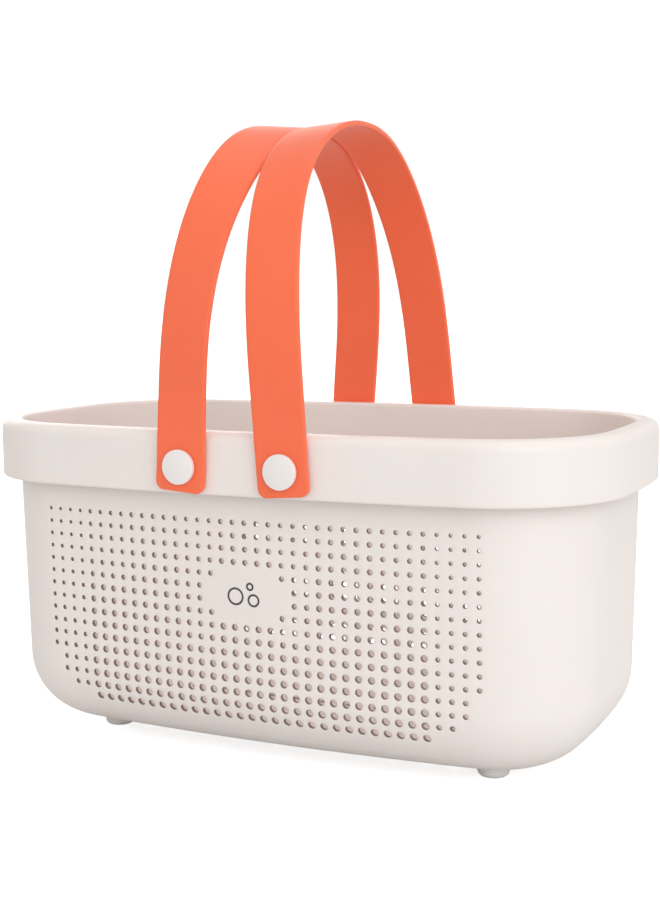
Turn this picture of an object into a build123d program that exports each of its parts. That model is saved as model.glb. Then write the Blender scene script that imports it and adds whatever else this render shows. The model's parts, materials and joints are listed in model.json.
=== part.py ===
"""Shower caddy: a perforated rectangular basket with two swinging strap handles.

Millimetres, +Z up, front towards -Y.  The origin is on the standing plane, in the middle
of the four feet.  The basket is one moulding with a down-turned rim.  Each handle is a
flat strap, bent over from front to back, and turns on two snap rivets in the rim's skirt.
"""

import os
from math import asin, cos, pi, radians, sin, tan

from build123d import *

os.makedirs("parts", exist_ok=True)

# Heights
foot_height = 7.0  # the tub's flat underside is this far above the standing plane
skirt_bottom_z = foot_height + 122.5
rim_top_z = foot_height + 150.5
rivet_z = foot_height + 135.0

# The tub's outside in plan, at the height of the skirt's lower edge
half_length = 150.6  # at the middle of an end
half_depth = 81.2  # at the middle of the front
side_radius = 1089.0  # of the gentle curve of the front and back
end_radius = 500.0  # of the gentle curve of the ends
corner_radius = 51.6
draft = 1.37  # degrees, the walls lean outwards
bottom_radius = 33.0  # the round between walls and floor
wall = 2.0

# Rim
skirt_stand_off = 8.8  # from the tub's outside to the skirt's outside
skirt_wall = 2.4
rim_round = 4.6  # along the rim's upper outer edge
rim_lead_in = 1.2
skirt_edge_round = 1.0

# Perforations, the same in the front and the back
pitch = 6.0
columns = 37
top_row_z = foot_height + 109.5
row_cut = [0] * 12 + [1, 1, 2, 4]  # per row, columns left out at each end
window_half_width = [2, 3, 3, 2]  # columns left solid each side of the middle one
window_first_row = 4
hole_share_top = 0.37  # hole diameter as a share of the pitch, in the top row
hole_share_step = 0.0145  # its growth from row to row
hole_share_most = 0.57

# The perforated fields are flat strips, so that a hole's edge is a plain ellipse
strips = 13
strip_columns = 3
strip_depth = 0.01  # a strip's edges lie this far inside the curve, its middle 0.05 mm

# Drain holes in the floor
drain_diameter = 5.0
drain_pitch = 15.0
drain_columns = 12
drain_rows = 5

# Snap rivets
rivet_x = 25.1
stem_diameter = 6.0
head_diameter = 15.6
head_rim = 2.3  # height of the head's straight edge, before the dome
head_dome = 0.9
head_edge_round = 0.6
barb_diameter = 7.6
barb_length = 4.0
barb_tip_diameter = 4.6
slot_width = 1.4  # splits the stem so that the barb can close
fixed_fit = 0.05  # radial clearance between stem and skirt
running_fit = 0.075  # radial clearance between stem and strap
gap = 0.3  # between the strap and what it slides along

# Handles
strap_width = 24.6
strap_thickness = 2.6
strap_corner = 4.5
strap_below_rivet = 11.4
strap_straight = 35.6  # height above the rivet where the straight legs end
strap_crown = 154.2  # height of the crown's centreline above the rivet
crown_gap = 0.5  # between the two crowns where they lean together
arch_depth_power = 0.914
arch_height_power = 0.859
arch_points = 14

# Feet
foot_x = 100.3
foot_y = 32.3
foot_diameter = 14.7
foot_round = 2.5
foot_neck_diameter = 5.0
foot_barb_diameter = 6.6
foot_barb_height = 2.6

slope = tan(radians(draft))
skirt_face = half_depth + skirt_stand_off
strap_inner_face = skirt_face + gap
head_underside = strap_inner_face + strap_thickness + gap
leg_depth = strap_inner_face + strap_thickness / 2
floor_z = foot_height + wall
# how far the bowed skirt falls back behind its middle, at the far edge of a rivet's barb
skirt_fall = (rivet_x + barb_diameter / 2) ** 2 / (2 * (side_radius + skirt_stand_off))
lean = asin((rivet_x - strap_width / 2 - crown_gap / 2) / (strap_crown + strap_thickness / 2))


def tub_outline(height, grow):
    """Makes the tub's plan outline at a height, grown outwards by so much.

    Four large circles cut out its gently bowed sides and ends.
    """
    side_reach = side_radius - half_depth
    end_reach = end_radius - half_length
    with BuildSketch(Plane.XY.offset(height)) as outline:
        with Locations((0, side_reach)):
            Circle(side_radius + grow)
        with Locations((0, -side_reach)):
            Circle(side_radius + grow, mode=Mode.INTERSECT)
        for centre in (-end_reach, end_reach):
            with Locations((centre, 0)):
                Circle(end_radius + grow, mode=Mode.INTERSECT)
        fillet(outline.vertices(), corner_radius + grow)
    return outline.sketch


def drafted_outlines(low, high, inset):
    """Makes the outlines of the drafted wall at two heights, so far inside its outer face."""
    return [tub_outline(z, (z - skirt_bottom_z) * slope - inset) for z in (low, high)]


def flatten_sides(inset):
    """Cuts the flat strips of the perforated fields into a drafted block."""
    strip_turn = strip_columns * pitch / side_radius
    reach = (side_radius - inset) * cos(strip_turn / 2) - strip_depth
    for facing in (-1, 1):
        for strip in range(-(strips // 2), strips // 2 + 1):
            out_x = sin(strip * strip_turn)
            out_y = facing * cos(strip * strip_turn)
            origin = (reach * out_x, facing * (half_depth - side_radius) + reach * out_y, skirt_bottom_z)
            split(bisect_by=Plane(origin=origin, z_dir=(out_x, out_y, -slope)), keep=Keep.BOTTOM)


def perforations():
    """Groups the (x, z) places of the holes in one long side by their radius."""
    holes = {}
    middle = columns // 2
    for row, cut in enumerate(row_cut):
        share = min(hole_share_top + hole_share_step * row, hole_share_most)
        for column in range(-middle + cut, middle - cut + 1):
            if abs(column) <= window_reach(row):
                continue
            radius = pitch * share * band_share(abs(column), row) / 2
            place = (column * pitch, top_row_z - row * pitch)
            holes.setdefault(radius, []).append(place)
    return holes


def window_reach(row):
    """Gives how many columns each side of the middle stay solid in a row."""
    line = row - window_first_row
    return window_half_width[line] if 0 <= line < len(window_half_width) else -1


def band_share(distance, row):
    """Gives the size of a hole against its row's, by its distance from the middle column."""
    if distance > 14:
        return 0.68
    if distance > 10 and row < 6:
        return 0.87
    if 2 < distance < 6 and row < 10:
        return 0.87
    return 1.0


# ---------------------------------------------------------------- basket

with BuildPart() as rim_hollow:
    outline = tub_outline(skirt_bottom_z, skirt_stand_off - skirt_wall)
    extrude(outline, amount=rim_top_z - skirt_wall - skirt_bottom_z)
    fillet(rim_hollow.faces().sort_by(Axis.Z)[-1].edges(), rim_round - skirt_wall)

with BuildPart() as tub_body:
    loft(drafted_outlines(foot_height, rim_top_z - skirt_wall / 2, 0), ruled=True)
    fillet(tub_body.faces().sort_by(Axis.Z)[0].edges(), bottom_radius)
    flatten_sides(0)

with BuildPart() as cavity:
    loft(drafted_outlines(floor_z, rim_top_z + wall, wall), ruled=True)
    fillet(cavity.faces().sort_by(Axis.Z)[0].edges(), bottom_radius - wall)
    flatten_sides(wall)

# the lead-in from the rim's top to the inner wall, at 45 degrees
mouth_grow = (rim_top_z - skirt_bottom_z) * slope - wall
with BuildPart() as mouth:
    loft([tub_outline(rim_top_z + rise, mouth_grow + rim_lead_in + rise)
          for rise in (-2 * rim_lead_in, rim_lead_in)], ruled=True)

with BuildPart() as basket:
    extrude(tub_outline(skirt_bottom_z, skirt_stand_off), amount=rim_top_z - skirt_bottom_z)
    fillet(basket.faces().sort_by(Axis.Z)[-1].edges(), rim_round)
    add(rim_hollow.part, mode=Mode.SUBTRACT)
    fillet(basket.faces().sort_by(Axis.Z)[0].edges(), skirt_edge_round)
    add(tub_body.part)
    add(cavity.part, mode=Mode.SUBTRACT)
    add(mouth.part, mode=Mode.SUBTRACT)
    # perforations, cut through the front and the back at once
    with BuildSketch(Plane.XZ):
        for radius, places in perforations().items():
            with Locations(*places):
                Circle(radius)
    extrude(amount=half_depth + skirt_stand_off / 2, both=True, mode=Mode.SUBTRACT)
    # drains, and the sockets of the feet
    with BuildSketch(Plane.XY):
        with GridLocations(drain_pitch, drain_pitch, drain_columns, drain_rows):
            Circle(drain_diameter / 2)
        with GridLocations(2 * foot_x, 2 * foot_y, 2, 2):
            Circle(foot_neck_diameter / 2 + fixed_fit)
    extrude(amount=floor_z + wall, mode=Mode.SUBTRACT)
    # rivet holes, through the skirt alone
    for side in (-1, 1):
        with BuildSketch(Plane.XZ.offset(-side * (half_depth + skirt_stand_off / 2))):
            with Locations((-rivet_x, rivet_z), (rivet_x, rivet_z)):
                Circle(stem_diameter / 2 + fixed_fit)
        extrude(amount=-side * skirt_stand_off, mode=Mode.SUBTRACT)

basket.part.label = "basket"
export_step(basket.part, "parts/basket.step", write_pcurves=False)

# ---------------------------------------------------------------- handles


def arch_point(turn):
    """Gives (depth, height above the rivet) of the strap's centreline at an angle, 0 to pi."""
    across, up = cos(turn), sin(turn)
    depth = -leg_depth * (1 if across > 0 else -1) * abs(across) ** arch_depth_power
    return depth, strap_straight + (strap_crown - strap_straight) * up**arch_height_power


for name, side in (("handle_left", -1), ("handle_right", 1)):
    pivot = (side * rivet_x, 0, rivet_z)
    across = (cos(lean), 0, side * sin(lean))
    arch = [arch_point(pi * step / arch_points) for step in range(arch_points + 1)]
    with BuildPart() as handle:
        with BuildSketch(Plane(origin=pivot, x_dir=(0, 1, 0), z_dir=across)):
            with BuildLine():
                Line((-leg_depth, -strap_below_rivet), arch[0])
                Spline(arch, tangents=((0, 1), (0, -1)))
                Line(arch[-1], (leg_depth, -strap_below_rivet))
            trace(line_width=strap_thickness)
        extrude(amount=strap_width / 2, both=True)
        fillet(handle.edges().filter_by(Axis.Y), strap_corner)
        with BuildSketch(Plane(origin=pivot, x_dir=(1, 0, 0), z_dir=(0, -1, 0))):
            Circle(stem_diameter / 2 + running_fit)
        extrude(amount=leg_depth + strap_thickness, both=True, mode=Mode.SUBTRACT)
    handle.part.label = name
    export_step(handle.part, f"parts/{name}.step")

# ---------------------------------------------------------------- rivets

for end, facing in (("front", -1), ("back", 1)):
    for hand, side in (("left", -1), ("right", 1)):
        name = f"rivet_{end}_{hand}"
        # local x is the radius and local y points out of the basket
        face = Plane(origin=(side * rivet_x, facing * skirt_face, rivet_z), x_dir=(1, 0, 0),
                     z_dir=(0, 0, facing))
        underside = head_underside - skirt_face
        dome_top = underside + head_rim + head_dome
        barb_start = -skirt_wall - skirt_fall - fixed_fit
        barb_end = barb_start - barb_length
        with BuildPart() as rivet:
            with BuildSketch(face):
                with BuildLine():
                    Polyline((0, barb_end), (barb_tip_diameter / 2, barb_end),
                             (barb_diameter / 2, barb_start), (stem_diameter / 2, barb_start),
                             (stem_diameter / 2, underside), (head_diameter / 2, underside),
                             (head_diameter / 2, underside + head_rim))
                    TangentArc((0, dome_top), (head_diameter / 2, underside + head_rim),
                               tangent=(1, 0))
                    Line((0, dome_top), (0, barb_end))
                make_face()
                fillet(vertices().group_by(Axis.X)[-1], head_edge_round)
            revolve(axis=Axis(face.origin, face.y_dir))
            with BuildSketch(face):
                with Locations((0, (barb_end + barb_start) / 2)):
                    Rectangle(slot_width, barb_length + 2 * fixed_fit)
            extrude(amount=barb_diameter, both=True, mode=Mode.SUBTRACT)
        rivet.part.label = name
        export_step(rivet.part, f"parts/{name}.step")

# ---------------------------------------------------------------- feet

for end, facing in (("front", -1), ("back", 1)):
    for hand, side in (("left", -1), ("right", 1)):
        name = f"foot_{end}_{hand}"
        centre = (side * foot_x, facing * foot_y)
        with BuildPart() as foot:
            with BuildSketch():
                with Locations(centre):
                    Circle(foot_diameter / 2)
            extrude(amount=foot_height)
            fillet(foot.edges().group_by(Axis.Z)[0], foot_round)
            with BuildSketch(Plane.XY.offset(foot_height)):
                with Locations(centre):
                    Circle(foot_neck_diameter / 2)
            extrude(amount=wall + fixed_fit)
            with BuildSketch(Plane.XY.offset(floor_z + fixed_fit)):
                with Locations(centre):
                    Circle(foot_barb_diameter / 2)
            extrude(amount=foot_barb_height, taper=25)
        foot.part.label = name
        export_step(foot.part, f"parts/{name}.step")
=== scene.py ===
"""Shower caddy: the looks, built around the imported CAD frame.

Metres, +Z up, front towards -Y.  The basket and the two strap handles are built here as
finer meshes in the CAD's places; the rivets and feet are the CAD's own with better materials.
"""

import json
from math import acos, asin, atan2, cos, hypot, pi, radians, sin, sqrt, tan

import bmesh
import bpy
from mathutils import Matrix, Vector
from mathutils.geometry import delaunay_2d_cdt


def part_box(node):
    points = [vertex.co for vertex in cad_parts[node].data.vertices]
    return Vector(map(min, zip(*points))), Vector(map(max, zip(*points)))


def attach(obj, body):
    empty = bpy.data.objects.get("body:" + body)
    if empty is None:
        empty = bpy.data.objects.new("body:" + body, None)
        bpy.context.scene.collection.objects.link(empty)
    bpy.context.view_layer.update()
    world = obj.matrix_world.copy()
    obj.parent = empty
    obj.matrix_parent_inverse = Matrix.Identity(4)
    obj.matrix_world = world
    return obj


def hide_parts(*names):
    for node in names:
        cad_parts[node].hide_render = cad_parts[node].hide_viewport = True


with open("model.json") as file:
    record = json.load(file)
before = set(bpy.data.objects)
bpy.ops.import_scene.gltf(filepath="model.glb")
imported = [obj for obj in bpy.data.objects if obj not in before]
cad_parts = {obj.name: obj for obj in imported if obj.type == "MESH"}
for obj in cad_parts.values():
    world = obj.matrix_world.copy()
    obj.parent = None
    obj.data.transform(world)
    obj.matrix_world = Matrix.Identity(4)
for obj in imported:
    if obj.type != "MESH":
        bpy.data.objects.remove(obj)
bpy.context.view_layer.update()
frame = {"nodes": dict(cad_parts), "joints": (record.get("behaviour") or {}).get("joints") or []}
MM = 0.001

# ------------------------------------------------------------------ sizes from the frame
basket_low, basket_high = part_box("basket")
strap_low, strap_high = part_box("handle_right")
joint = {j["name"]: j for j in frame["joints"]}
pivot = Vector(joint["right_handle_swing"]["pos_m"])

# ------------------------------------------------------------------ the basket's design
STAND_OFF = 8.8 * MM  # the skirt's outside stands out this far from the tub's
SKIRT_WALL = 2.4 * MM
SKIRT_HEIGHT = 28 * MM
RIM_ROUND = 4.6 * MM
LIP_ROUND = 1.5 * MM
WALL = 2.0 * MM
BOTTOM_RADIUS = 33.0 * MM
CORNER_RADIUS = 51.6 * MM
SIDE_RADIUS = 1089.0 * MM
END_RADIUS = 500.0 * MM
SLOPE = tan(radians(1.37))

half_length = basket_high.x - STAND_OFF
half_depth = basket_high.y - STAND_OFF
under_z = basket_low.z
rim_z = basket_high.z
skirt_z = rim_z - SKIRT_HEIGHT
floor_z = under_z + WALL

# Perforated fields
PITCH = 6.0 * MM
COLUMNS = 37
ROW_CUT = [0] * 12 + [1, 1, 2, 4]
WINDOW_HALF_WIDTH = [2, 3, 3, 2]
WINDOW_FIRST_ROW = 4
TOP_ROW_HEIGHT = 109.5 * MM  # above the tub's underside
HOLE_SHARE_TOP = 0.37
HOLE_SHARE_STEP = 0.0145
HOLE_SHARE_MOST = 0.57
FAR_COLUMN, FAR_SHARE = 14, 0.68  # the holes beyond this column are smaller
MID_COLUMN, MID_ROW = 10, 6  # so are those beyond this column in the upper rows
NEAR_COLUMNS, NEAR_ROW = (3, 4, 5), 10  # and those beside the solid patch
MID_SHARE = 0.87
HOLE_EDGE = 0.25 * MM  # softness of a moulded hole's edge
HOLE_PROFILE = ((1.0, 0.0), (0.35, 0.25), (0.0, 1.0))  # outwards and inwards, in edge sizes
CELL_STEPS = 4  # mesh divisions of one cell
STEP = PITCH / CELL_STEPS
field_x = COLUMNS * PITCH / 2
field_top = under_z + TOP_ROW_HEIGHT + PITCH / 2
field_steps = CELL_STEPS * len(ROW_CUT)

# Drains and sockets in the floor, rivet holes in the skirt
DRAIN_RADIUS = 2.5 * MM
DRAIN_PITCH = 15.0 * MM
DRAIN_COLUMNS = 12
DRAIN_ROWS = 5
SOCKET_RADIUS = 2.55 * MM
STEM_RADIUS = 3.05 * MM
STEM_BLOCK = 7  # mesh divisions of the block round a rivet hole

# ------------------------------------------------------------------ the handles' design
STRAP_THICKNESS = 2.6 * MM
STRAP_WIDTH = 24.6 * MM
STRAP_CORNER = 4.5 * MM
STRAP_EDGE = 0.5 * MM
STRAP_BELOW = 11.4 * MM
STRAP_HOLE_RADIUS = 3.075 * MM
STRAP_HOLE_ZONE = 9 * MM  # length of finer mesh round a rivet hole
STRAP_STRAIGHT = 35.6 * MM
STRAP_CROWN = 154.2 * MM
CROWN_GAP = 0.5 * MM
# how each leg flexes: at mid height outwards in metres and its face turned outwards in degrees,
# then under the crown, where the straps rest on each other, inwards and turned again
STRAP_FLEX = {("left", "front"): (2.1 * MM, 6, 1.0 * MM, -13),
              ("left", "back"): (0.3 * MM, 3, -0.4 * MM, 0),
              ("right", "front"): (0.8 * MM, 4, 1.6 * MM, 2),
              ("right", "back"): (-1.4 * MM, 0, 1.4 * MM, -6)}
REST_POWER = 6  # how near the crown the straps rest on each other
DEPTH_POWER = 0.914
HEIGHT_POWER = 0.859
leg_depth = strap_high.y - STRAP_THICKNESS / 2
lean = asin((pivot.x - STRAP_WIDTH / 2 - CROWN_GAP / 2) / (STRAP_CROWN + STRAP_THICKNESS / 2))


# ------------------------------------------------------------------ mesh helpers
# how far into a hole a point lies, which weights the painted shade on the hole walls
HOLE_SHADE_LAYER = "hole_wall_shade"


class Skin:
    """Points and faces of one mesh, gathered before it is made."""

    def __init__(self):
        self.points = []
        self.faces = []
        self.deep = {}  # how far inside a hole a point lies, 0 to 1

    def point(self, place, deep=0.0):
        self.points.append(place)
        if deep:
            self.deep[len(self.points) - 1] = deep
        return len(self.points) - 1

    def strip(self, first, second, closed=True):
        """Joins two rows of points with quads."""
        count = len(first) if closed else len(first) - 1
        for i in range(count):
            j = (i + 1) % len(first)
            self.faces.append((first[i], first[j], second[j], second[i]))

    def mesh(self, name):
        """Makes the mesh, closed, facing outwards and without points that no face uses."""
        mesh = bpy.data.meshes.new(name)
        mesh.from_pydata(self.points, [], self.faces)
        if self.deep:
            layer = mesh.attributes.new(HOLE_SHADE_LAYER, "FLOAT", "POINT")
            for i, deep in self.deep.items():
                layer.data[i].value = deep
        work = bmesh.new()
        work.from_mesh(mesh)
        bmesh.ops.remove_doubles(work, verts=work.verts, dist=1e-7)
        bmesh.ops.delete(work, geom=[v for v in work.verts if not v.link_faces], context="VERTS")
        bmesh.ops.recalc_face_normals(work, faces=work.faces)
        work.to_mesh(mesh)
        work.free()
        mesh.polygons.foreach_set("use_smooth", [True] * len(mesh.polygons))
        return mesh

    def make(self, name, material, body):
        """Makes the mesh into a piece that moves with a body."""
        mesh = self.mesh(name)
        mesh.materials.append(material)
        piece = bpy.data.objects.new(name, mesh)
        bpy.context.scene.collection.objects.link(piece)
        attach(piece, body)
        return piece


def block_rim(grid, low, left, size):
    """Lists the border points of a square block of a grid, turning from its lower left corner."""
    rim = [grid[low][left + i] for i in range(size)]
    rim += [grid[low + i][left + size] for i in range(size)]
    rim += [grid[low + size][left + size - i] for i in range(size)]
    rim += [grid[low + size - i][left] for i in range(size)]
    return rim


# ------------------------------------------------------------------ the tub's outline
side_centre_y = half_depth - SIDE_RADIUS
end_centre_x = half_length - END_RADIUS


def corner_centre():
    """Finds the centre of the corner round, tangent to a long side and to an end."""
    to_side = SIDE_RADIUS - CORNER_RADIUS
    to_end = END_RADIUS - CORNER_RADIUS
    apart = hypot(end_centre_x, side_centre_y)
    along = (to_side**2 - to_end**2 + apart**2) / (2 * apart)
    away = sqrt(to_side**2 - along**2)
    unit = Vector((end_centre_x, -side_centre_y)) / apart
    return Vector((0, side_centre_y)) + unit * along + Vector((-unit.y, unit.x)) * -away


corner = corner_centre()
side_turn = atan2(corner.x, corner.y - side_centre_y)  # where the long side's curve ends
end_turn = atan2(corner.y, corner.x - end_centre_x)


def depth_at(x, grow):
    """Gives the half depth at x of the outline grown by so much."""
    x = abs(x)
    reach = SIDE_RADIUS + grow
    if x <= reach * sin(side_turn):
        return side_centre_y + sqrt(reach**2 - x**2)
    return corner.y + sqrt((CORNER_RADIUS + grow) ** 2 - (x - corner.x) ** 2)


def stations():
    """Lists functions that give the outline's points, once round from the front left."""
    corner_steps = 16
    end_steps = 14
    long_steps = COLUMNS * CELL_STEPS

    def long(x, facing):
        return lambda grow: (x, facing * depth_at(x, grow))

    def turn(share, hand, facing):
        def place(grow):
            reach = CORNER_RADIUS + grow
            start = acos((field_x - corner.x) / reach)
            angle = start + (end_turn - start) * share
            return (hand * (corner.x + reach * cos(angle)), facing * (corner.y + reach * sin(angle)))
        return place

    def end(share, hand):
        def place(grow):
            reach = END_RADIUS + grow
            y = reach * sin(end_turn) * share
            return (hand * (end_centre_x + sqrt(reach**2 - y**2)), y)
        return place

    found = []
    for facing, hand in ((-1, 1), (1, -1)):  # the front rightwards, then the back leftwards
        found += [long(hand * (i * STEP - field_x), facing) for i in range(long_steps + 1)]
        found += [turn(i / corner_steps, hand, facing) for i in range(1, corner_steps + 1)]
        found += [end(facing * (1 - 2 * i / end_steps), hand) for i in range(1, end_steps)]
        found += [turn(i / corner_steps, hand, -facing) for i in range(corner_steps, 0, -1)]
    return found


# ------------------------------------------------------------------ the wall's section
def wall_grow(z, inset, radius, foot):
    """Gives how far the wall's face lies outside the reference outline at a height.

    The face leans by the draft and rounds into the floor, which lies at foot.
    """
    centre_z = foot + radius
    centre_grow = (centre_z - skirt_z) * SLOPE - inset - radius * sqrt(1 + SLOPE**2)
    straight = (z - skirt_z) * SLOPE - inset
    if z >= centre_z:
        return straight
    curved = centre_grow + sqrt(max(radius**2 - (centre_z - z) ** 2, 0))
    return min(curved, straight)


def outer_grow(z):
    return wall_grow(z, 0, BOTTOM_RADIUS, under_z)


def inner_grow(z):
    return wall_grow(z, WALL, BOTTOM_RADIUS - WALL, floor_z)


def skirt_outer_grow(z):
    return STAND_OFF


def skirt_inner_grow(z):
    return STAND_OFF - SKIRT_WALL


def arc(grow, z, radius, start, stop, steps):
    """Lists points of an arc in the section, from one angle to another, in degrees."""
    turns = [radians(start + (stop - start) * i / steps) for i in range(steps + 1)]
    return [(grow + radius * cos(t), z + radius * sin(t)) for t in turns]


def spread(low, high, steps):
    return [low + (high - low) * i / steps for i in range(steps + 1)]


def round_heights(foot, radius, top, steps):
    """Lists heights up the floor round from its foot, evenly spaced along the arc."""
    turn = acos((foot + radius - top) / radius)
    return [foot + radius * (1 - cos(turn * i / steps)) for i in range(steps)]


field_low = field_top - len(ROW_CUT) * PITCH
field_heights = spread(field_low, field_top, field_steps)
skirt_heights = spread(skirt_z + 2 * MM, rim_z - RIM_ROUND - 0.4 * MM, 14)
ROUND_STEPS = 12
UPPER_STEPS = 12
web_z = rim_z - SKIRT_WALL
hollow_round = RIM_ROUND - SKIRT_WALL


def section():
    """Lists (growth, height) once along the section, and where each field starts in it."""
    outer = round_heights(under_z, BOTTOM_RADIUS, field_low, ROUND_STEPS)
    start = {"outer": len(outer)}
    outer += field_heights + spread(field_top, web_z, UPPER_STEPS)[1:]
    line = [(outer_grow(z), z) for z in outer]
    line += arc(STAND_OFF - SKIRT_WALL - hollow_round, web_z - hollow_round, hollow_round, 90, 0, 5)
    start["skirt_inner"] = len(line)
    line += [(STAND_OFF - SKIRT_WALL, z) for z in reversed(skirt_heights)]
    edge = SKIRT_WALL / 2
    line += arc(STAND_OFF - edge, skirt_z + edge, edge, 180, 360, 8)
    start["skirt_outer"] = len(line)
    line += [(STAND_OFF, z) for z in skirt_heights]
    line += arc(STAND_OFF - RIM_ROUND, rim_z - RIM_ROUND, RIM_ROUND, 0, 90, 12)
    top_grow = (rim_z - skirt_z) * SLOPE - WALL
    line += arc(top_grow + LIP_ROUND, rim_z - LIP_ROUND, LIP_ROUND, 90, 180, 6)
    inner = spread(field_top, rim_z - LIP_ROUND - 1 * MM, UPPER_STEPS)[1:]
    start["inner"] = len(line) + len(inner)
    inner = round_heights(floor_z, BOTTOM_RADIUS - WALL, field_low, ROUND_STEPS) + field_heights + inner
    line += [(inner_grow(z), z) for z in reversed(inner)]
    return line, start


def hole_radius(row, column):
    """Gives a perforation's radius, or None where the wall stays solid."""
    far = abs(column)
    if far > COLUMNS // 2 - ROW_CUT[row]:
        return None
    line = row - WINDOW_FIRST_ROW
    if 0 <= line < len(WINDOW_HALF_WIDTH) and far <= WINDOW_HALF_WIDTH[line]:
        return None
    share = min(HOLE_SHARE_TOP + HOLE_SHARE_STEP * row, HOLE_SHARE_MOST)
    if far > FAR_COLUMN:
        share *= FAR_SHARE
    elif (far > MID_COLUMN and row < MID_ROW) or (far in NEAR_COLUMNS and row < NEAR_ROW):
        share *= MID_SHARE
    return PITCH * share / 2


# ------------------------------------------------------------------ basket mesh
def make_basket(material):
    skin = Skin()
    line, start = section()
    around = stations()
    grid = []
    for grow, z in line:
        row = [skin.point((*place(grow), z)) for place in around]
        grid.append(row + row[:1])
    removed = set()
    side_start = {-1: 0, 1: len(around) // 2}

    def take(low, left, size):
        removed.update((low + i, left + j) for i in range(size) for j in range(size))
        return block_rim(grid, low, left, size)

    def punch(rows, step_along, size, facing, hole, growths):
        """Makes a hole through a wall, in place of a block of faces on each side of it."""
        left = side_start[facing] + step_along
        outer, inner = (take(row, left, size) for row in rows)
        # the inner rows run downwards, so its border is read the other way round
        inner = [inner[(3 * size - i) % (4 * size)] for i in range(4 * size)]
        join_hole(skin, (outer, inner), hole, growths, facing)

    # x runs towards -facing along the stations
    for facing in (-1, 1):
        for row in range(len(ROW_CUT)):
            for column in range(-(COLUMNS // 2), COLUMNS // 2 + 1):
                radius = hole_radius(row, column)
                if radius is None:
                    continue
                up = (len(ROW_CUT) - 1 - row) * CELL_STEPS
                rows = (start["outer"] + up, start["inner"] + field_steps - up - CELL_STEPS)
                step_along = (COLUMNS // 2 - facing * column) * CELL_STEPS
                hole = (column * PITCH, field_top - (row + 0.5) * PITCH, radius)
                punch(rows, step_along, CELL_STEPS, facing, hole, (outer_grow, inner_grow))

        for side in (-1, 1):
            step = skirt_heights[1] - skirt_heights[0]
            up = round((pivot.z - skirt_heights[0]) / step - STEM_BLOCK / 2)
            down = len(skirt_heights) - 1 - up - STEM_BLOCK
            rows = (start["skirt_outer"] + up, start["skirt_inner"] + down)
            step_along = round((-facing * side * pivot.x + field_x) / STEP - STEM_BLOCK / 2)
            hole = (side * pivot.x, pivot.z, STEM_RADIUS)
            punch(rows, step_along, STEM_BLOCK, facing, hole, (skirt_outer_grow, skirt_inner_grow))

    for i in range(len(grid) - 1):
        for j in range(len(around)):
            if (i, j) not in removed:
                skin.faces.append((grid[i][j], grid[i][j + 1], grid[i + 1][j + 1], grid[i + 1][j]))
    make_floor(skin, grid[0][:-1], grid[-1][:-1])
    return skin.make("basket_shell", material, "basket")


def join_hole(skin, rims, hole, growths, facing):
    """Joins the borders of two blocks, on a wall's two faces, by a round hole."""
    centre_x, centre_z, radius = hole
    first = (-2 + facing) * pi / 4  # the angle of the blocks' first corner
    walls = []
    for rim, growth, inward in zip(rims, growths, (-facing, facing)):
        previous = rim
        for out, deep in HOLE_PROFILE:
            ring = []
            for i in range(len(rim)):
                angle = first - facing * 2 * pi * i / len(rim)
                x = centre_x + (radius + out * HOLE_EDGE) * cos(angle)
                z = centre_z + (radius + out * HOLE_EDGE) * sin(angle)
                y = facing * depth_at(x, growth(z)) + inward * deep * HOLE_EDGE
                ring.append(skin.point((x, y, z), 1.0 - out))
            skin.strip(previous, ring)
            previous = ring
        walls.append(previous)
    skin.strip(*walls)


def make_floor(skin, outer_edge, inner_edge):
    """Closes the tub's floor below and inside, with its drains and the feet's sockets."""
    circle_steps = 24
    foot_low, foot_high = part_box("foot_front_right")
    foot_x, foot_y = (foot_low.x + foot_high.x) / 2, -(foot_low.y + foot_high.y) / 2
    holes = [(sx * foot_x, sy * foot_y, SOCKET_RADIUS) for sx in (-1, 1) for sy in (-1, 1)]
    for i in range(DRAIN_COLUMNS):
        for j in range(DRAIN_ROWS):
            x = (i - (DRAIN_COLUMNS - 1) / 2) * DRAIN_PITCH
            y = (j - (DRAIN_ROWS - 1) / 2) * DRAIN_PITCH
            holes.append((x, y, DRAIN_RADIUS))
    mouths = []
    for edge, z, inward in ((outer_edge, under_z, 1), (inner_edge, floor_z, -1)):
        places = [Vector(skin.points[k][:2]) for k in edge]
        ids = list(edge)
        loops = [list(range(len(edge)))]
        inner_rings = []
        for x, y, radius in holes:
            rings = []
            for out, deep in HOLE_PROFILE:
                reach = radius + out * HOLE_EDGE
                turns = [2 * pi * i / circle_steps for i in range(circle_steps)]
                rings.append([skin.point((x + reach * cos(t), y + reach * sin(t),
                                          z + inward * deep * HOLE_EDGE)) for t in turns])
            for wider, narrower in zip(rings, rings[1:]):
                skin.strip(wider, narrower)
            inner_rings.append(rings[-1])
            loops.append(list(range(len(ids), len(ids) + circle_steps)))
            ids += rings[0]
            places += [Vector(skin.points[k][:2]) for k in rings[0]]
        edges = [(loop[i], loop[(i + 1) % len(loop)]) for loop in loops for i in range(len(loop))]
        corners, _, triangles, origins, _, _ = delaunay_2d_cdt(places, edges, [], 1, 1e-8)
        for triangle in triangles:
            middle = sum((corners[k] for k in triangle), Vector((0, 0))) / 3
            if all(hypot(middle.x - x, middle.y - y) > 0.99 * (radius + HOLE_EDGE)
                   for x, y, radius in holes):
                skin.faces.append(tuple(ids[origins[k][0]] for k in triangle))
        mouths.append(inner_rings)
    for lower, upper in zip(*mouths):
        skin.strip(lower, upper)


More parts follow.
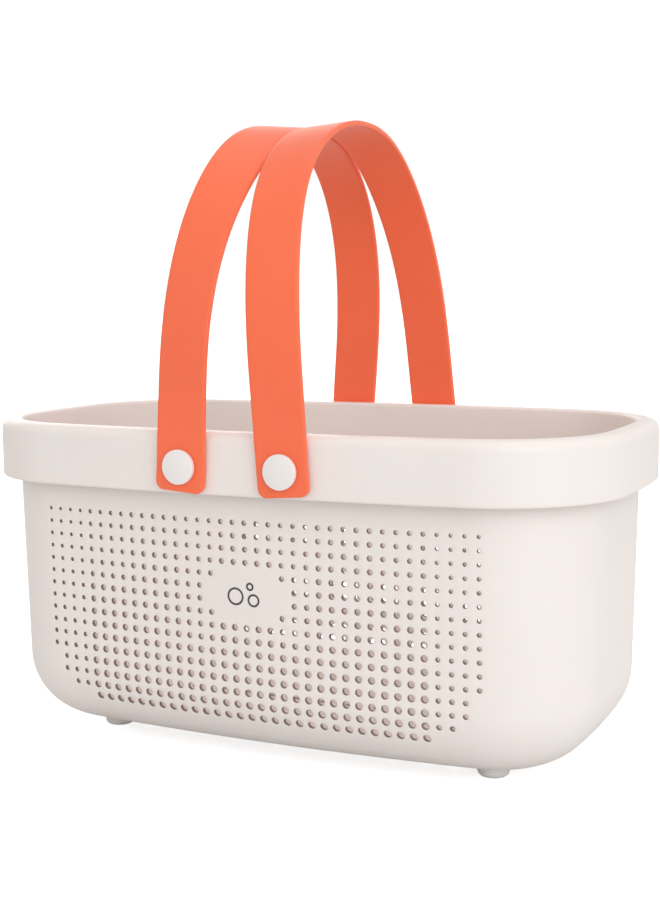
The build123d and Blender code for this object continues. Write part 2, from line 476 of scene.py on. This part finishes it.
# ------------------------------------------------------------------ strap mesh
def strap_line():
    """Lists (depth, height, distance from the nearer end) along the strap's centreline."""
    places = [share * STRAP_EDGE for share in (0.0, 0.04, 0.15, 0.4, 0.7, 1.0)]
    places += spread(STRAP_EDGE, STRAP_CORNER, 6)[1:]
    zone_start = STRAP_BELOW - STRAP_HOLE_ZONE / 2
    zone_stop = zone_start + STRAP_HOLE_ZONE
    places += spread(STRAP_CORNER, zone_start, 2)[1:] + spread(zone_start, zone_stop, 6)[1:]
    places += spread(zone_stop, STRAP_BELOW + STRAP_STRAIGHT, 12)[1:]
    leg = [(-leg_depth, place - STRAP_BELOW, place) for place in places]
    arch_steps = 96
    arch = []
    for i in range(1, arch_steps):
        turn = pi * i / arch_steps
        across, up = cos(turn), sin(turn)
        depth = -leg_depth * (1 if across > 0 else -1) * abs(across) ** DEPTH_POWER
        arch.append((depth, STRAP_STRAIGHT + (STRAP_CROWN - STRAP_STRAIGHT) * up**HEIGHT_POWER, 1.0))
    return leg + arch + [(-depth, height, place) for depth, height, place in reversed(leg)]


def make_strap(hand, side, material):
    """Lofts a strap along its line, flexed leg by leg, with round corners and edges."""
    skin = Skin()
    across = Vector((cos(lean), 0, side * sin(lean)))
    up = Vector((-side * sin(lean), 0, cos(lean)))
    origin = Vector((side * pivot.x, 0, pivot.z))
    line = strap_line()
    flat_steps = 14
    edge_steps = 8
    grid = []
    for i, (depth, height, place) in enumerate(line):
        before, after = line[max(i - 1, 0)], line[min(i + 1, len(line) - 1)]
        run = Vector((after[0] - before[0], after[1] - before[1])).normalized()
        normal = Vector((0, -run.y, 0)) + up * run.x  # out of the arch
        share = min(max(height / STRAP_CROWN, 0), 1)
        swell = 4 * share * (1 - share)
        resting = share**REST_POWER * (1 - share)
        resting *= (REST_POWER + 1) ** (REST_POWER + 1) / REST_POWER**REST_POWER
        bow, twist, rest_in, rest_twist = STRAP_FLEX[hand, "front" if depth < 0 else "back"]
        twist = radians(-side * (twist * swell + rest_twist * resting))
        wide = across * cos(twist) + normal * sin(twist)
        deep = normal * cos(twist) - across * sin(twist)
        aside = bow * swell - rest_in * resting
        middle = origin + across * (side * aside) + Vector((0, depth, 0)) + up * height
        near = min(place, STRAP_CORNER)
        half = STRAP_WIDTH / 2 - STRAP_CORNER
        half += sqrt(max(STRAP_CORNER**2 - (STRAP_CORNER - near) ** 2, 0))
        thin = min(place, STRAP_EDGE)
        thick = STRAP_THICKNESS / 2 * sqrt(max(1 - ((STRAP_EDGE - thin) / STRAP_EDGE) ** 2, 0))
        flat = half - STRAP_EDGE
        loop = [(u, thick) for u in spread(-flat, flat, flat_steps)]
        for k in range(1, edge_steps):
            turn = pi / 2 - pi * k / edge_steps
            loop.append((flat + STRAP_EDGE * cos(turn), thick * sin(turn)))
        loop += [(u, -thick) for u in spread(flat, -flat, flat_steps)]
        for k in range(1, edge_steps):
            turn = -pi / 2 - pi * k / edge_steps
            loop.append((-flat + STRAP_EDGE * cos(turn), thick * sin(turn)))
        grid.append([skin.point(tuple(middle + wide * u + deep * v)) for u, v in loop])
    for first, second in zip(grid, grid[1:]):
        skin.strip(first, second)
    # close the two ends, where the loop is flat
    for row in (grid[0], grid[-1]):
        skin.faces.append(tuple(row))
    strap = skin.make(f"strap_{hand}", material, f"handle_{hand}")
    punch_strap(strap, origin)
    return strap


def punch_strap(strap, axle):
    """Cuts the rivet holes through both legs, along the axle."""
    steps = 40
    rod = Skin()
    ends = []
    for y in (strap_low.y - 1 * MM, strap_high.y + 1 * MM):
        turns = [2 * pi * i / steps for i in range(steps)]
        ends.append([rod.point((axle.x + STRAP_HOLE_RADIUS * cos(t), y,
                                axle.z + STRAP_HOLE_RADIUS * sin(t))) for t in turns])
        rod.faces.append(tuple(ends[-1]))
    rod.strip(*ends)
    mesh = rod.mesh("rivet_hole_cutter")
    cutter = bpy.data.objects.new("rivet_hole_cutter", mesh)
    bpy.context.scene.collection.objects.link(cutter)
    cut = strap.modifiers.new("rivet_holes", "BOOLEAN")
    cut.operation = "DIFFERENCE"
    cut.solver = "EXACT"
    cut.object = cutter
    evaluated = strap.evaluated_get(bpy.context.evaluated_depsgraph_get())
    finished = bpy.data.meshes.new_from_object(evaluated)
    strap.modifiers.clear()
    strap.data = finished
    bpy.data.objects.remove(cutter)


# ------------------------------------------------------------------ materials
GLOSS_DRIFT = 0.05
WAVE_HEIGHT = 0.12 * MM
SUBSURFACE_DEPTH = 3 * MM


def new_material(name):
    material = bpy.data.materials.new(name)
    material.use_nodes = True
    tree = material.node_tree
    return material, tree, tree.nodes["Principled BSDF"]


def noise(tree, where, scale, detail=2.0, roughness=0.5):
    node = tree.nodes.new("ShaderNodeTexNoise")
    node.inputs["Scale"].default_value = scale
    node.inputs["Detail"].default_value = detail
    node.inputs["Roughness"].default_value = roughness
    tree.links.new(where, node.inputs["Vector"])
    return node.outputs["Fac"]


def ramp(tree, value, stops):
    node = tree.nodes.new("ShaderNodeValToRGB")
    node.color_ramp.elements[0].position, node.color_ramp.elements[0].color = stops[0]
    node.color_ramp.elements[1].position, node.color_ramp.elements[1].color = stops[-1]
    for place, colour in stops[1:-1]:
        node.color_ramp.elements.new(place).color = colour
    tree.links.new(value, node.inputs["Fac"])
    return node.outputs["Color"]


def remap(tree, value, low, high):
    node = tree.nodes.new("ShaderNodeMapRange")
    node.inputs["To Min"].default_value = low
    node.inputs["To Max"].default_value = high
    tree.links.new(value, node.inputs["Value"])
    return node.outputs["Result"]


def bump(tree, shader, layers):
    """Chains bump layers, each (height, distance), into the shader's normal."""
    normal = None
    for height, distance in layers:
        node = tree.nodes.new("ShaderNodeBump")
        node.inputs["Strength"].default_value = 1.0
        node.inputs["Distance"].default_value = distance
        tree.links.new(height, node.inputs["Height"])
        if normal is not None:
            tree.links.new(normal, node.inputs["Normal"])
        normal = node.outputs["Normal"]
    tree.links.new(normal, shader.inputs["Normal"])


def moulded_plastic(name, light, dark, roughness, grain, translucency=0.0, radius=(1, 1, 1)):
    """Makes a satin moulded plastic: two close tones, a fine grain and slow waves in the gloss."""
    material, tree, shader = new_material(name)
    where = tree.nodes.new("ShaderNodeTexCoord").outputs["Object"]
    tone = noise(tree, where, scale=14.0, detail=3.0)
    colour = ramp(tree, tone, [(0.3, (*dark, 1)), (0.7, (*light, 1))])
    tree.links.new(colour, shader.inputs["Base Color"])
    smears = noise(tree, where, scale=60.0, detail=4.0, roughness=0.6)
    gloss = remap(tree, smears, roughness - GLOSS_DRIFT, roughness + GLOSS_DRIFT)
    tree.links.new(gloss, shader.inputs["Roughness"])
    waves = noise(tree, where, scale=25.0, detail=1.0)
    grains = noise(tree, where, scale=2600.0, detail=2.0)
    bump(tree, shader, [(waves, WAVE_HEIGHT), (grains, grain)])
    shader.inputs["Subsurface Weight"].default_value = translucency
    shader.inputs["Subsurface Radius"].default_value = radius
    shader.inputs["Subsurface Scale"].default_value = SUBSURFACE_DEPTH
    return material, tree, shader


def darken(tree, shader, amount, value):
    """Multiplies the base colour down, by so much where value is 1."""
    mix = tree.nodes.new("ShaderNodeMix")
    mix.data_type = "RGBA"
    mix.blend_type = "MULTIPLY"
    tree.links.new(value, mix.inputs["Factor"])
    tree.links.new(shader.inputs["Base Color"].links[0].from_socket, mix.inputs["A"])
    mix.inputs["B"].default_value = (*amount, 1)
    tree.links.new(mix.outputs["Result"], shader.inputs["Base Color"])


def basket_plastic():
    """Cream polypropylene, with painted shade on the walls of its small holes."""
    material, tree, shader = moulded_plastic(
        "basket_plastic", light=(0.87, 0.815, 0.78), dark=(0.85, 0.795, 0.757), roughness=0.42,
        grain=0.008 * MM, translucency=0.1, radius=(1.0, 0.8, 0.65))
    layer = tree.nodes.new("ShaderNodeAttribute")
    layer.attribute_name = HOLE_SHADE_LAYER
    # painted shade: the hole walls' base colour is multiplied darker the deeper into the hole they lie
    darken(tree, shader, (0.30, 0.25, 0.22), layer.outputs["Fac"])
    return material


def strap_plastic():
    """Matte soft orange plastic with a faint bloom."""
    material, _, shader = moulded_plastic(
        "strap_plastic", light=(0.97, 0.168, 0.066), dark=(0.93, 0.155, 0.060), roughness=0.46,
        grain=0.01 * MM, translucency=0.1, radius=(1.0, 0.25, 0.1))
    shader.inputs["Sheen Weight"].default_value = 0.3
    shader.inputs["Sheen Roughness"].default_value = 0.4
    shader.inputs["Sheen Tint"].default_value = (1.0, 0.82, 0.74, 1)
    return material


def rivet_plastic():
    """White, a little glossier than the basket."""
    return moulded_plastic(
        "rivet_plastic", light=(0.86, 0.825, 0.81), dark=(0.84, 0.805, 0.79), roughness=0.3,
        grain=0.003 * MM)[0]


def foot_rubber():
    """Milky soft pads, which the light goes well into."""
    return moulded_plastic(
        "foot_rubber", light=(0.93, 0.89, 0.85), dark=(0.90, 0.85, 0.81), roughness=0.35,
        grain=0.008 * MM, translucency=0.6, radius=(1.0, 0.9, 0.8))[0]


def mark_ink():
    """Dark grey printed ink, a little uneven."""
    return moulded_plastic(
        "mark_ink", light=(0.075, 0.072, 0.075), dark=(0.055, 0.053, 0.056), roughness=0.5,
        grain=0.004 * MM)[0]


# ------------------------------------------------------------------ printed mark
MARK_MIDDLE = Vector((0, field_top - (WINDOW_FIRST_ROW + 2) * PITCH))
MARK_RINGS = ((-5.2, -0.6, 4.1), (3.9, -1.9, 3.0), (2.2, 4.3, 1.9))  # x, z and radius in mm
MARK_LINE = 0.9 * MM
MARK_RAISED = 0.06 * MM


def make_mark(material):
    """Prints three plain bubbles on the solid field in the front."""
    skin = Skin()
    steps = 48
    for x, z, radius in MARK_RINGS:
        middle = MARK_MIDDLE + Vector((x, z)) * MM
        rows = []
        for reach, raised in ((0, 1), (-1, 1), (-1, -1), (0, -1)):
            row = []
            for i in range(steps):
                turn = 2 * pi * i / steps
                place_x = middle.x + (radius * MM + reach * MARK_LINE) * cos(turn)
                place_z = middle.y + (radius * MM + reach * MARK_LINE) * sin(turn)
                face = depth_at(place_x, outer_grow(place_z))
                row.append(skin.point((place_x, -face - raised * MARK_RAISED, place_z)))
            rows.append(row)
        for first, second in zip(rows, rows[1:] + rows[:1]):
            skin.strip(first, second)
    skin.make("front_mark", material, "basket")


# ------------------------------------------------------------------ build
basket_shell = make_basket(basket_plastic())
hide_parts("basket")
make_mark(mark_ink())
strap_material = strap_plastic()
for hand, side in (("left", -1), ("right", 1)):
    strap = make_strap(hand, side, strap_material)
    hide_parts(f"handle_{hand}")

rivet_material = rivet_plastic()
foot_material = foot_rubber()
for name, node in frame["nodes"].items():
    if name.startswith(("rivet_", "foot_")):
        node.data.materials.clear()
        node.data.materials.append(rivet_material if name.startswith("rivet_") else foot_material)
        node.data.shade_smooth()


# ------------------------------------------------------------------ stage, light and camera
FLOOR_RADIUS = 12.0
FLOOR_GLOW = 0.75
LIGHT_AIM = Vector((0, 0, 0.12))
CAMERA_TURN = 25.34  # degrees round from the front
CAMERA_RISE = 6.39
CAMERA_ROLL = -0.52
CAMERA_PLACE = Vector((0.3061, -0.6371, 0.2198))
CAMERA_LENS = 57.8
ROOM_COLOUR = (1.0, 0.965, 0.945, 1)
ROOM_STRENGTH = 0.77
BACKDROP_STRENGTH = 1.05


def mix_for_camera(tree, unseen, seen, output):
    """Gives the camera one shader and all the other rays another."""
    mix = tree.nodes.new("ShaderNodeMixShader")
    tree.links.new(tree.nodes.new("ShaderNodeLightPath").outputs["Is Camera Ray"], mix.inputs["Fac"])
    tree.links.new(unseen.outputs[0], mix.inputs[1])
    tree.links.new(seen.outputs[0], mix.inputs[2])
    tree.links.new(mix.outputs[0], output.inputs["Surface"])


def make_stage():
    """A large round pale floor."""
    steps = 64
    ring = [(FLOOR_RADIUS * cos(2 * pi * i / steps), FLOOR_RADIUS * sin(2 * pi * i / steps), 0)
            for i in range(steps)]
    mesh = bpy.data.meshes.new("studio_floor")
    mesh.from_pydata(ring, [], [tuple(range(steps))])
    material, tree, unseen = new_material("studio_paper")
    seen = tree.nodes.new("ShaderNodeBsdfPrincipled")
    for shader in (unseen, seen):
        shader.inputs["Base Color"].default_value = (0.8, 0.8, 0.8, 1)
        shader.inputs["Roughness"].default_value = 0.9
        shader.inputs["Specular IOR Level"].default_value = 0.1
    # the floor is seen brighter than it lights the object, as overexposed white paper
    seen.inputs["Emission Color"].default_value = (1, 1, 1, 1)
    seen.inputs["Emission Strength"].default_value = FLOOR_GLOW
    mix_for_camera(tree, unseen, seen, tree.nodes["Material Output"])
    mesh.materials.append(material)
    floor = bpy.data.objects.new("studio_floor", mesh)
    bpy.context.scene.collection.objects.link(floor)


def area_light(name, place, size, power, colour=(1, 1, 1)):
    """Hangs a round lamp that faces the object."""
    light = bpy.data.lights.new(name, "AREA")
    light.shape = "DISK"
    light.size = size
    light.energy = power
    light.color = colour
    lamp = bpy.data.objects.new(name, light)
    lamp.location = place
    lamp.rotation_euler = (LIGHT_AIM - Vector(place)).to_track_quat("-Z", "Y").to_euler()
    bpy.context.scene.collection.objects.link(lamp)


make_stage()
area_light("key", (1.75, -1.42, 0.95), size=2.4, power=22, colour=(0.95, 0.99, 1.02))
area_light("top", (0.2, 0.2, 2.2), size=1.6, power=5, colour=(1.0, 0.98, 0.96))
area_light("back", (-1.5, 1.6, 0.8), size=1.8, power=11)

# the camera sees plain white behind the object, which is lit by a dimmer, warmer room
world = bpy.data.worlds.new("studio")
world.use_nodes = True
tree = world.node_tree
room = tree.nodes["Background"]
room.inputs["Color"].default_value = ROOM_COLOUR
room.inputs["Strength"].default_value = ROOM_STRENGTH
backdrop = tree.nodes.new("ShaderNodeBackground")
backdrop.inputs["Color"].default_value = (1, 1, 1, 1)
backdrop.inputs["Strength"].default_value = BACKDROP_STRENGTH
mix_for_camera(tree, room, backdrop, tree.nodes["World Output"])
bpy.context.scene.world = world
bpy.context.scene.view_settings.view_transform = "Standard"

camera_data = bpy.data.cameras.new("camera")
camera_data.lens = CAMERA_LENS
camera_data.clip_start = 0.01
camera_data.clip_end = 50
camera = bpy.data.objects.new("camera", camera_data)
turn, rise, roll = radians(CAMERA_TURN), radians(CAMERA_RISE), radians(CAMERA_ROLL)
back = Vector((sin(turn) * cos(rise), -cos(turn) * cos(rise), sin(rise)))
right = Vector((cos(turn), sin(turn), 0))
above = back.cross(right)
rolled_right = right * cos(roll) + above * sin(roll)
rolled_up = above * cos(roll) - right * sin(roll)
facing = Matrix((rolled_right, rolled_up, back)).transposed().to_4x4()
camera.matrix_world = Matrix.Translation(CAMERA_PLACE) @ facing
bpy.context.scene.collection.objects.link(camera)
bpy.context.scene.camera = camera
